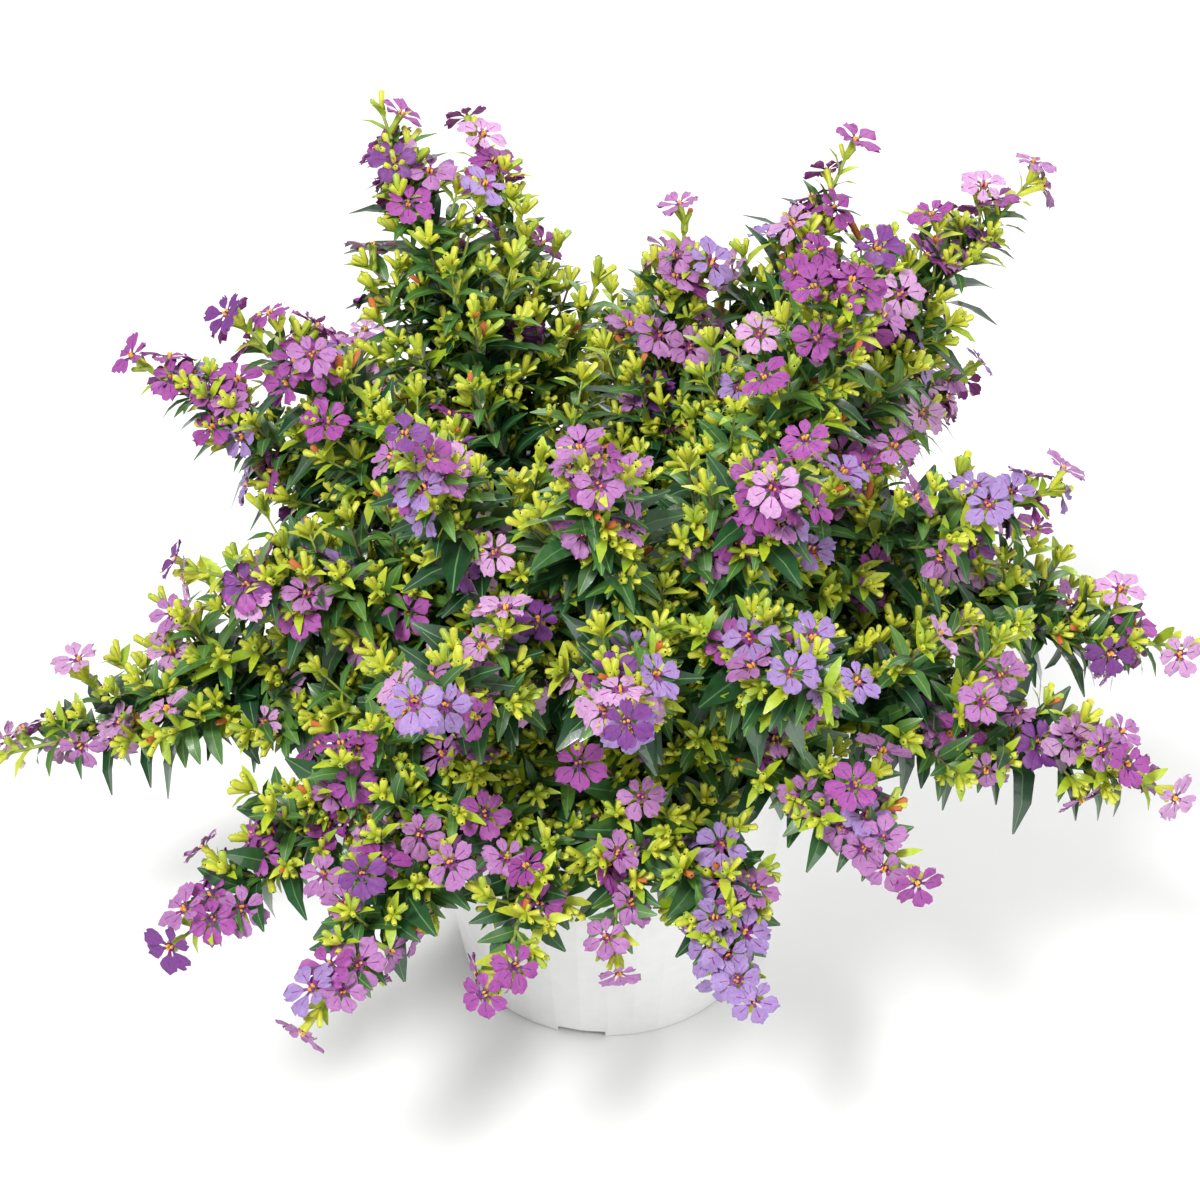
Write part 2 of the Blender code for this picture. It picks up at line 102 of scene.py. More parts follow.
# Each spray as (name, degrees round the pot, reach from its axis, rise of the tip over the soil)
SPRAYS = (
    ("right_far", -3, 0.160, 0.030),
    ("right_low", -24, 0.158, 0.026),
    ("right_upper", -7, 0.118, 0.087),
    ("right_front_low", -52, 0.124, 0.028),
    ("front_right_low", -72, 0.118, -0.002),
    ("front_low", -89, 0.104, 0.004),
    ("front_left_low", -104, 0.116, 0.000),
    ("left_front_low", -121, 0.142, 0.001),
    ("left_low", -139, 0.146, 0.002),
    ("left_far", -171, 0.168, 0.006),
    ("left_middle", -159, 0.114, 0.080),
    ("left_upper", 163, 0.133, 0.090),
    ("left_top", 175, 0.096, 0.124),
    ("front_left", -114, 0.116, 0.088),
    ("front_middle", -88, 0.108, 0.086),
    ("front_right", -60, 0.114, 0.086),
    ("front_left_upper", -130, 0.078, 0.130),
    ("front_upper", -94, 0.072, 0.134),
    ("front_right_upper", -50, 0.076, 0.128),
    ("top_left", 132, 0.092, 0.155),
    ("top_left_back", 112, 0.100, 0.133),
    ("top_middle", 64, 0.048, 0.134),
    ("top_right", 46, 0.094, 0.140),
    ("top_right_front", 6, 0.068, 0.143),
    ("top_right_far", 30, 0.134, 0.133),
    ("back_right_low", 44, 0.150, 0.046),
    ("back_middle_low", 84, 0.150, 0.056),
    ("back_left_low", 126, 0.152, 0.044),
)
LEAVE_ANGLE = math.radians(20)
LEAVE_SHARE = 0.5
TIP_ANGLE = math.radians(-12)
TIP_SHARE = 1.25
LEAVE_PULL = 0.38
TIP_PULL = 0.3
SWINGS = (0, 14, -14, 28, -28)
PATH_POINTS = 61
BOUGH_POINTS = 13
LIMB_AIR = 0.0006
PLACE_STRIDE = 3
BOUGH_RADII = (0.0014, 0.0010)
SPRAY_RADII = (0.0009, 0.0005)

# How far growth may pass the solids' box, and how near it comes to the pot, its soil and the floor
BOX_MARGIN = 0.008
POT_MARGIN = 0.0015
LOWEST_GROWTH = 0.02

# Pairs up a spray's stem: their steps, shorter near the tip, and the foot that stays bare
STEM_START = 4
FIRST_PAIR_AT = 0.004
LAST_PAIR_SHORT = 0.002
STEM_STEP = 0.0058
STEM_TIP = 0.03
STEM_TIP_STEP = 0.7
STEM_ROLL = (-0.3, 0.3)
BARE_SHARE = 0.42
LOW_BARE_SHARE = 0.2
LOW_RISE = 0.035
STEM_FLOWER_CHANCE = 0.4
CAPSULE_CHANCE = 0.05
CAPSULE_DROP = 0.003

# How freely growth flowers along a spray: from this share of its length, by this slope, and at least so much
BLOOM_FROM = 0.25
BLOOM_SLOPE = 1.6
BLOOM_LEAST = 0.05

# Shoots (order 1, from the stem) and twigs (order 2, from a shoot)
SHOOT_CHANCE = 0.86
SHOOT_SHARE = 0.43
SHOOT_LONGEST = 0.044
SHOOT_SHORTEST = 0.007
SHOOT_RANGE = (0.55, 1.1)
SHOOT_RADIUS = 0.0007
TWIG_CHANCE = 0.56
TWIG_SHARE = 0.55
TWIG_LONGEST = 0.018
TWIG_RANGE = (0.7, 1.2)
TWIG_RADIUS = 0.00045
TWIG_POINTS = 6
TWIG_MIDDLE = 3
TWIG_TAPER = 0.6
TWIG_LIFT = (0.12, 0.34)
TWIG_ROLL = (-0.2, 0.2)
GREEN_LENGTH = 0.02
TWIG_SIDES = {1: 5, 2: 4}
PAIR_STEP = {1: 0.0041, 2: 0.0034}
PAIR_AGE = {1: 0.004, 2: 0}
PAIR_FOOT = 0.7
PAIR_TIP = 0.2

# Flowers and buds on them, within these distances of the tip. The tip of a stem has order 0
BLOOM_WITHIN = 0.026
BUDS_WITHIN = 0.014
BUD_CHANCE = 0.6
BLOOM_CHANCE = {1: 0.30, 2: 0.12}
TIP_BLOOM = {0: 1, 1: 0.35, 2: 0.16}
TIP_BUDS = {0: 3, 1: 5, 2: 4}
TIP_BUD_SPREAD = (0.3, 0.8)

# Ways to grow, as shares of the way along, of the side and of straight up
SHOOT_WAY = (0.67, 0.74, 0.34)
TWIG_WAY = (1, 0.9, 0.3)
STEM_FLOWER_WAY = (0.5, 1, 0.6)
TWIG_FLOWER_WAY = (0.6, 1, 0.5)
TIP_FLOWER_WAY = (1, 0.5, 0.3)
BUD_WAY = (0.8, 1, 0.4)

# Leaves: their length by distance from the tip, and the distances within which they are young or middling
LEAF_DISTANCES = (0, 0.012, 0.045)
LEAF_LENGTHS = (0.0054, 0.0105, 0.024)
LEAF_WIDTH = 0.33
LEAF_RANGE = (0.85, 1.15)
LEAF_OPENING = (42, 66)
CLOSED_SHARE = 0.55
OPEN_FROM = 0.02
LEAF_FACES_UP = 0.8
LEAF_FACES_ALONG = 0.6
LEAF_FACES_STEM = 0.2
YOUNG_WITHIN = 0.0095
MIDDLE_WITHIN = 0.021
OWN_LEAF_TONE = 0.6

FLOWER_REACH = 0.011
FLOWER_RANGE = (0.9, 1.12)
FLOWER_NOD = 0.5
OWN_PETAL_TONE = 0.45
BUD_REACH = 0.007
BUD_RANGE = (0.7, 1.1)
WITHERED_CHANCE = 0.02


def stem_at(height):
    """The main stem's radius and centre at this height over its foot."""
    heights, radii, leans = zip(*STEM_PROFILE)
    radius = float(np.interp(height, heights, radii))
    return radius, Vector((float(np.interp(height, heights, leans)), 0, SOIL_LEVEL + GAP + height))


def steepness(spray):
    return math.atan2(spray[3], spray[2])


def outward(degrees):
    return Vector((math.cos(math.radians(degrees)), math.sin(math.radians(degrees)), 0))


def path_of(spray, height, swing):
    """The smooth line of a bough and its spray, by the rule of the solids."""
    _, degrees, reach, rise = spray
    radius, centre = stem_at(height)
    leave = LEAVE_ANGLE + LEAVE_SHARE * steepness(spray)
    first = outward(degrees + swing)
    start = centre + first * (radius + GAP + BOUGH_RADII[0] * math.sin(leave))
    out = outward(degrees)
    tip = out * reach + UP * (SOIL_LEVEL + rise)
    length = (tip - start).length
    end = TIP_ANGLE + TIP_SHARE * steepness(spray)
    leave_handle = start + (first * math.cos(leave) + UP * math.sin(leave)) * LEAVE_PULL * length
    tip_handle = tip - (out * math.cos(end) + UP * math.sin(end)) * TIP_PULL * length
    return interpolate_bezier(start, leave_handle, tip_handle, tip, PATH_POINTS)


def limb_radii():
    past = PATH_POINTS - BOUGH_POINTS
    return np.concatenate([np.linspace(*BOUGH_RADII, BOUGH_POINTS), np.linspace(*SPRAY_RADII, past)])


def air_between(path, taken):
    """The least air between a limb on this path and those on the paths already taken."""
    radii = limb_radii()
    both = radii[:, None] + radii[None, :]
    points = np.array(path)
    return min((np.linalg.norm(points[:, None] - other[None, :], axis=2) - both).min() for other in taken)


def all_paths():
    """Every spray's path: the flattest leaves the stem first, each at the free place nearest its own."""
    ranked = sorted(SPRAYS, key=steepness)
    heights = np.linspace(FIRST_BOUGH, LAST_BOUGH, len(ranked))
    paths = {}
    taken = []
    for own, spray in zip(heights, ranked):
        places = [(height, swing) for height in heights[::PLACE_STRIDE] for swing in SWINGS]
        places.sort(key=lambda place: abs(place[0] - own) / BOUGH_RADII[0] + abs(place[1]) / SWINGS[1])
        tried = []
        for height, swing in places:
            path = path_of(spray, float(height), swing)
            air = air_between(path, taken) if taken else 1
            tried.append((air, path))
            if air > LIMB_AIR:
                break
        best = tried[-1] if tried[-1][0] > LIMB_AIR else max(tried, key=lambda one: one[0])
        taken.append(np.array(best[1]))
        paths[spray[0]] = best[1]
    return [paths[spray[0]] for spray in SPRAYS]


# Materials

NOISE_DETAIL = 3
RAMP_ENDS = (0.3, 0.7)
RELIEF_DEPTH = 0.0004


def material(name, colour, roughness, spread=0.12, grain=900, bump=0.12, coat=0.0):
    """A finish whose colour and relief vary finely over the surface."""
    made = bpy.data.materials.new(name)
    made.use_nodes = True
    nodes = made.node_tree.nodes
    links = made.node_tree.links
    shader = nodes["Principled BSDF"]
    shader.inputs["Roughness"].default_value = roughness
    shader.inputs["Coat Weight"].default_value = coat
    place = nodes.new("ShaderNodeTexCoord")
    noise = nodes.new("ShaderNodeTexNoise")
    noise.inputs["Scale"].default_value = grain
    noise.inputs["Detail"].default_value = NOISE_DETAIL
    ramp = nodes.new("ShaderNodeValToRGB")
    for end, position, share in zip(ramp.color_ramp.elements, RAMP_ENDS, (1 - spread, 1 + spread)):
        end.position = position
        end.color = (*[min(1, channel * share) for channel in colour], 1)
    relief = nodes.new("ShaderNodeBump")
    relief.inputs["Strength"].default_value = bump
    relief.inputs["Distance"].default_value = RELIEF_DEPTH
    links.new(place.outputs["Object"], noise.inputs["Vector"])
    links.new(noise.outputs["Fac"], ramp.inputs["Fac"])
    links.new(ramp.outputs["Color"], shader.inputs["Base Color"])
    links.new(noise.outputs["Fac"], relief.inputs["Height"])
    links.new(relief.outputs["Normal"], shader.inputs["Normal"])
    return made


# The three ages of leaf are the indices of the leaf batches, and each age has a finish and three tones
OLD, MIDDLE, YOUNG = range(3)
LEAF_FINISHES = (
    ("leaf_dark", 0.30, 0.4, ((0.011, 0.052, 0.018), (0.018, 0.078, 0.024), (0.030, 0.105, 0.028))),
    ("leaf_middle", 0.42, 0.12, ((0.060, 0.165, 0.028), (0.090, 0.210, 0.032), (0.042, 0.125, 0.028))),
    ("leaf_young", 0.45, 0.08, ((0.400, 0.510, 0.022), (0.300, 0.430, 0.022), (0.500, 0.570, 0.045))),
)
LEAF_TONES = (0, 1, 2)
RIB_SLOT = 3
RIB_TONES = ((0.10, 0.21, 0.07), (0.20, 0.32, 0.09))

# A flower's slots: its petals' tones, its claws' tones, the stamens and the green tube's two tones
PETAL_TONES = (
    ("magenta", (0.30, 0.055, 0.28)),
    ("lilac", (0.37, 0.15, 0.37)),
    ("pale", (0.52, 0.28, 0.50)),
    ("bluish", (0.30, 0.19, 0.44)),
    ("violet", (0.15, 0.030, 0.20)),
)
CLAW_TONES = ((0.20, 0.015, 0.20), (0.12, 0.010, 0.16))
STRONG_PETALS = (0, 4)
SPRAY_PETALS = (0, 0, 1, 1, 2, 3)
STRAY_PETALS = (0, 0, 1, 1, 2, 3, 4)
CLAW_SLOT = 5
STAMEN_SLOT = 7
TUBE_SLOT = 8
CALYX_TONES = (0, 1)
BUD_TONES = (0, 0, 1)
WITHERED_SLOT = 2
GREEN_TWIG, OLIVE_TWIG, OLD_TWIG = range(3)

# Unit shapes, as (points, triangles, part of each triangle)


def strip(rows, parts):
    """Triangles over rows of points with one part number for each column."""
    points = np.concatenate([np.array(row, float) for row in rows])
    width = len(rows[0])
    faces = []
    labels = []
    for row in range(len(rows) - 1):
        for column in range(width - 1):
            a = row * width + column
            faces += [(a, a + 1, a + width + 1), (a, a + width + 1, a + width)]
            labels += [parts[column]] * 2
    return points, np.array(faces), np.array(labels)


def merged(shapes):
    """The shapes as one."""
    points = []
    faces = []
    labels = []
    count = 0
    for shape in shapes:
        points.append(shape[0])
        faces.append(shape[1] + count)
        labels.append(shape[2])
        count += len(shape[0])
    return np.concatenate(points), np.concatenate(faces), np.concatenate(labels)


# A leaf's outline as (share of its length, half width), and the ranges of its bends
BLADE, RIB = range(2)
RIBBED_OUTLINE = ((0, 0.05), (0.16, 0.36), (0.42, 0.5), (0.72, 0.40), (1, 0.05))
PLAIN_OUTLINE = ((0, 0.08), (0.3, 0.46), (0.68, 0.44), (1, 0.08))
LEAF_RISE = 0.10
LEAF_ARCH = (0.10, 0.34)
LEAF_FOLD = (0.10, 0.24)
LEAF_TWIST = (-0.25, 0.25)
RIB_HALF = 0.024
RIB_SHARE = 0.4


def unit_leaf(chance, ribbed):
    """A lance-shaped leaf, 1 wide and 1 long, folded a little along its rib and arched back to its tip."""
    arch = chance.uniform(*LEAF_ARCH)
    fold = chance.uniform(*LEAF_FOLD)
    twist = chance.uniform(*LEAF_TWIST)
    rows = []
    for along, half in RIBBED_OUTLINE if ribbed else PLAIN_OUTLINE:
        height = LEAF_RISE * math.sin(math.pi * along) - arch * along * along
        rib = min(RIB_HALF, half * RIB_SHARE)
        across = (-half, -rib, rib, half) if ribbed else (-half, 0, half)
        tilt = twist * along
        rows.append([(x, along, height + LEAF_WIDTH * (fold * abs(x) + tilt * x)) for x in across])
    return strip(rows, (BLADE, RIB, BLADE) if ribbed else (BLADE, BLADE))


def ring_tube(heights, radii, sides, part, lean=0.0):
    """A turned tube along +Y, through rings of these radii."""
    rows = []
    for height, radius in zip(heights, radii):
        row = []
        for index in range(sides + 1):
            angle = index * math.tau / sides
            row.append((radius * math.cos(angle), height, lean * height - radius * math.sin(angle)))
        rows.append(row)
    return strip(rows, (part,) * sides)


# A flower: its tube, and its petals as (degrees round the tube, length, breadth)
PETAL, CLAW, STAMEN, TUBE = range(4)
TUBE_LENGTH = 0.0066
TUBE_HEIGHTS = (0, 0.0008, 0.0030, 0.0054, TUBE_LENGTH)
TUBE_RADII = (0.0004, 0.00095, 0.00085, 0.0010, 0.00135)
TUBE_SIDES = 6
PETALS = (
    (28, 0.80, 0.80),
    (88, 1.0, 1.0),
    (150, 1.0, 1.05),
    (210, 1.0, 1.05),
    (272, 1.0, 1.0),
    (332, 0.80, 0.80),
)
PETAL_LENGTH = 0.0058
PETAL_OUTLINE = ((0, 0.06), (0.18, 0.09), (0.38, 0.27), (0.64, 0.41), (0.88, 0.38), (1.0, 0.20))
PETAL_COLUMNS = (-1, -0.5, -0.07, 0.07, 0.5, 1)
VEIN_COLUMNS = (PETAL, PETAL, CLAW, PETAL, PETAL)
CLAW_ROWS = 1
VEINED_ROWS = 3
FLOWER_OPENING = (4, 24)
PETAL_SWING = (-6, 6)
PETAL_TILT = (-10, 10)
PETAL_RANGE = (0.92, 1.06)
RUFFLE_HEIGHT = 0.13
RUFFLE_WAVES = (5.5, 8)
RUFFLE_RUN = 5
PETAL_CURL = -0.18
EDGE_DEPTH = 0.07
EDGE_PHASE = 2.5
EDGE_WAVES = 4.5
EDGE_ROUNDING = 0.06
PETAL_START = 0.08
PETAL_OUT = 0.0006
THROAT_DEPTH = 0.0012
THROAT_RADIUS = 0.0013
THROAT_SIDES = 6
STAMENS = 3
STAMEN_HEIGHTS = (TUBE_LENGTH - 0.001, TUBE_LENGTH + 0.0006, TUBE_LENGTH + 0.0011)
STAMEN_RADII = (0.0002, 0.00042, 0.0001)
STAMEN_SIDES = 4
STAMEN_OUT = 0.0006


def petal_shape(chance, opening, degrees, size, breadth):
    """A crumpled petal on a narrow claw, with its claw and the foot of its vein darker."""
    angle = math.radians(degrees + chance.uniform(*PETAL_SWING))
    radial = np.array((math.sin(angle), 0, math.cos(angle)))
    side = np.array((math.cos(angle), 0, -math.sin(angle)))
    axis = np.array((0, 1.0, 0))
    lift = opening + math.radians(chance.uniform(*PETAL_TILT))
    out = radial * math.cos(lift) + axis * math.sin(lift)
    face = axis * math.cos(lift) - radial * math.sin(lift)
    length = PETAL_LENGTH * size * chance.uniform(*PETAL_RANGE)
    phase = chance.uniform(0, math.tau)
    waves = chance.uniform(*RUFFLE_WAVES)
    rows = []
    for along, half in PETAL_OUTLINE:
        curl = PETAL_CURL * along * along
        row = []
        for across in PETAL_COLUMNS:
            wave = math.sin(phase + waves * across + RUFFLE_RUN * along)
            ruffle = RUFFLE_HEIGHT * along * wave * abs(across) ** 0.5
            edge = EDGE_DEPTH * math.sin(EDGE_PHASE * phase + EDGE_WAVES * across) * along
            edge -= EDGE_ROUNDING * across * across * along
            spot = out * length * (along + edge + PETAL_START) + side * across * half * breadth * length
            spot = spot + face * length * (ruffle + curl) + axis * TUBE_LENGTH + radial * PETAL_OUT
            row.append(tuple(spot))
        rows.append(row)
    points, faces, labels = strip(rows, VEIN_COLUMNS)
    row_faces = 2 * (len(PETAL_COLUMNS) - 1)
    labels[: CLAW_ROWS * row_faces] = CLAW
    labels[VEINED_ROWS * row_faces :] = PETAL
    return points, faces, labels


def throat_shape():
    """The mouth of the tube closed by a shallow cone in the claw's dark tone: painted shade of the hollow
    inside the tube.
    """
    points = [(0, TUBE_LENGTH - THROAT_DEPTH, 0)]
    for index in range(THROAT_SIDES):
        angle = index * math.tau / THROAT_SIDES
        points.append((THROAT_RADIUS * math.cos(angle), TUBE_LENGTH, THROAT_RADIUS * math.sin(angle)))
    fan = [(0, 1 + index, 1 + (index + 1) % THROAT_SIDES) for index in range(THROAT_SIDES)]
    # The cone takes the dark claw tone as painted shade of the hollow tube
    return np.array(points), np.array(fan), np.full(THROAT_SIDES, CLAW)


def unit_flower(chance):
    """Six petals and the stamens round a throat with painted shade, at the mouth of a green tube along +Y,
    in metres.
    """
    shapes = [ring_tube(TUBE_HEIGHTS, TUBE_RADII, TUBE_SIDES, TUBE)]
    opening = math.radians(chance.uniform(*FLOWER_OPENING))
    for petal in PETALS:
        shapes.append(petal_shape(chance, opening, *petal))
    shapes.append(throat_shape())
    for _ in range(STAMENS):
        turn = chance.uniform(0, math.tau)
        points, faces, labels = ring_tube(STAMEN_HEIGHTS, STAMEN_RADII, STAMEN_SIDES, STAMEN)
        shift = np.array((STAMEN_OUT * math.cos(turn), 0, STAMEN_OUT * math.sin(turn)))
        shapes.append((points + shift, faces, labels))
    return merged(shapes)


BUD_HEIGHTS = (0, 0.0010, 0.0060, 0.0066)
BUD_RADII = (0.0004, 0.00092, 0.00108, 0.0003)
BUD_SIDES = 5
BUD_SIZES = (0.75, 1.05)
BUD_LEAN = (-0.15, 0.15)
CAPSULE_HEIGHTS = (0, 0.0004, 0.0016, 0.0028, 0.0032)
CAPSULE_RADII = (0.0002, 0.0010, 0.0016, 0.0010, 0.0001)
CAPSULE_SIDES = 8


def unit_bud(chance):
    """A closed bud that narrows to a blunt tip, along +Y, in metres."""
    size = chance.uniform(*BUD_SIZES)
    heights = [height * size for height in BUD_HEIGHTS]
    radii = [radius * size for radius in BUD_RADII]
    return ring_tube(heights, radii, BUD_SIDES, 0, lean=chance.uniform(*BUD_LEAN))


# Meshes


def mesh_object(name, points, faces, slots, materials, smooth):
    mesh = bpy.data.meshes.new(name)
    mesh.vertices.add(len(points))
    mesh.vertices.foreach_set("co", np.ascontiguousarray(points, np.float32).ravel())
    mesh.loops.add(faces.size)
    mesh.loops.foreach_set("vertex_index", np.ascontiguousarray(faces, np.int32).ravel())
    mesh.polygons.add(len(faces))
    mesh.polygons.foreach_set("loop_start", np.arange(0, faces.size, 3, dtype=np.int32))
    mesh.polygons.foreach_set("material_index", np.ascontiguousarray(slots, np.int32))
    mesh.update(calc_edges=True)
    mesh.validate()
    for one in materials:
        mesh.materials.append(one)
    if smooth:
        mesh.shade_smooth()
    else:
        mesh.shade_flat()
    made = bpy.data.objects.new(name, mesh)
    bpy.context.scene.collection.objects.link(made)
    return made


class Batch:
    """Gathers placed shapes of one kind, and joins them into pieces of limited size."""

    def __init__(self, name, materials, smooth=True):
        self.name = name
        self.materials = materials
        self.smooth = smooth
        self.points = []
        self.faces = []
        self.slots = []
        self.count = 0

    def add(self, shape, matrix, slots):
        """Adds a unit shape, moved by the matrix. slots gives the material of each of its parts."""
        points = shape[0] @ matrix[:3, :3].T + matrix[:3, 3]
        self.add_raw(points, shape[1], np.array(slots)[shape[2]])

    def add_tube(self, shape, slot):
        """Adds points and faces as they are, in one material."""
        self.add_raw(*shape, np.full(len(shape[1]), slot))

    def add_raw(self, points, faces, slots):
        self.points.append(points)
        self.faces.append(faces + self.count)
        self.slots.append(slots)
        self.count += len(points)

    def pieces(self):
        """The joined objects, each under the limit."""
        made = []
        start = 0
        while start < len(self.faces):
            end = start
            total = 0
            while end < len(self.faces) and total + len(self.faces[end]) <= PIECE_LIMIT:
                total += len(self.faces[end])
                end += 1
            points = np.concatenate(self.points[start:end])
            faces = np.concatenate(self.faces[start:end])
            faces = faces - faces.min()
            slots = np.concatenate(self.slots[start:end])
            name = f"{self.name}_{len(made) + 1}"
            made.append(mesh_object(name, points, faces, slots, self.materials, self.smooth))
            start = end
        return made


# Directions, and the least length of a cross product that still gives one
LEVEL = Vector((0, 1, 0))
SKEW = Vector((0.3, 1, 0.2))
SHAPE_PARALLEL = 1e-4
TUBE_PARALLEL = 1e-5
NEARLY_UPRIGHT = 0.1


def placing(base, along, facing, size):
    """The matrix that puts a unit shape's foot at base, its +Y along the way and its +Z as it faces."""
    across = along.cross(facing)
    if across.length < SHAPE_PARALLEL:
        across = along.cross(SKEW)
    across.normalize()
    face = across.cross(along)
    turn = Matrix((across, along, face)).transposed().to_4x4()
    return np.array(Matrix.Translation(base) @ turn @ Matrix.Diagonal((*size, 1)))


def sideways(along, roll):
    """A direction square to this one, turned round it from the level by roll."""
    flat = along.cross(UP)
    if flat.length < NEARLY_UPRIGHT:
        flat = along.cross(LEVEL)
    flat.normalize()
    return flat * math.cos(roll) + flat.cross(along) * math.sin(roll)


def heading(along, side, shares):
    return along * shares[0] + side * shares[1] + UP * shares[2]


def taper(ends, count):
    """Radii that narrow evenly from the first of the ends to the last."""
    return [ends[0] + (ends[1] - ends[0]) * index / (count - 1) for index in range(count)]


def tube(points, radii, sides, relief=0.0, chance=None):
    """A tapering tube through the points, closed at both ends, as (points, faces)."""
    rings = []
    previous = None
    for index, point in enumerate(points):
        before = points[max(index - 1, 0)]
        after = points[min(index + 1, len(points) - 1)]
        along = (after - before).normalized()
        across = along.cross(UP) if previous is None else previous - along * previous.dot(along)
        if across.length < TUBE_PARALLEL:
            across = along.cross(LEVEL)
        across.normalize()
        previous = across
        other = along.cross(across)
        for step in range(sides):
            angle = step * math.tau / sides
            radius = radii[index] * (1 + (chance.uniform(-relief, relief) if relief else 0))
            rings.append(point + (across * math.cos(angle) + other * math.sin(angle)) * radius)
    faces = []
    for ring in range(len(points) - 1):
        for step in range(sides):
            a = ring * sides + step
            b = ring * sides + (step + 1) % sides
            faces += [(a, b, b + sides), (a, b + sides, a + sides)]
    last = (len(points) - 1) * sides
    for step in range(1, sides - 1):
        faces += [(0, step + 1, step), (last, last + step, last + step + 1)]
    return np.array(rings), np.array(faces)


def inside(point):
    """Whether a point keeps to the plant's reach and clear of the pot and its soil."""
    low, high = CAD_BOX
    for axis in range(3):
        if not low[axis] - BOX_MARGIN < point[axis] < high[axis] + BOX_MARGIN:
            return False
    radius = math.hypot(point[0], point[1])
    if point[2] > POT_HEIGHT + POT_MARGIN or radius > POT_TOP_RADIUS + RIM_PROUD + POT_MARGIN:
        return point[2] > LOWEST_GROWTH
    return radius < POT_TOP_RADIUS - POT_WALL - POT_MARGIN and point[2] > SOIL_LEVEL + POT_MARGIN


# The plant

LEAF_SHAPES = 5
FLOWER_SHAPES = 12
BUD_SHAPES = 5

# The stem inside a spray, in every second point of its path, as (first, past the last, twig tone)
STEM_STRIDE = 2
STEM_SIDES = 6
STEM_SPANS = ((0, 9, OLD_TWIG), (8, 17, OLIVE_TWIG), (16, None, GREEN_TWIG))


def leaf_batches():
    """A batch for each age of leaf. The old and middling ones have a paler rib."""
    leaves = []
    for label, rough, coat, tones in LEAF_FINISHES:
        leaves.append([material(f"{label}_{i + 1}", tone, rough, coat=coat) for i, tone in enumerate(tones)])
    ribs = [material(f"leaf_rib_{i + 1}", tone, 0.5) for i, tone in enumerate(RIB_TONES)]
    return [
        Batch("leaves_dark", leaves[OLD] + ribs[:1]),
        Batch("leaves_middle", leaves[MIDDLE] + ribs[1:]),
        Batch("leaves_young", leaves[YOUNG]),
    ]


def petal_materials():
    made = []
    for name, tone in PETAL_TONES:
        made.append(material(f"petal_{name}", tone, 0.55, spread=0.16, grain=1400, bump=0.25))
    return made + [material(f"claw_{i + 1}", tone, 0.5) for i, tone in enumerate(CLAW_TONES)]


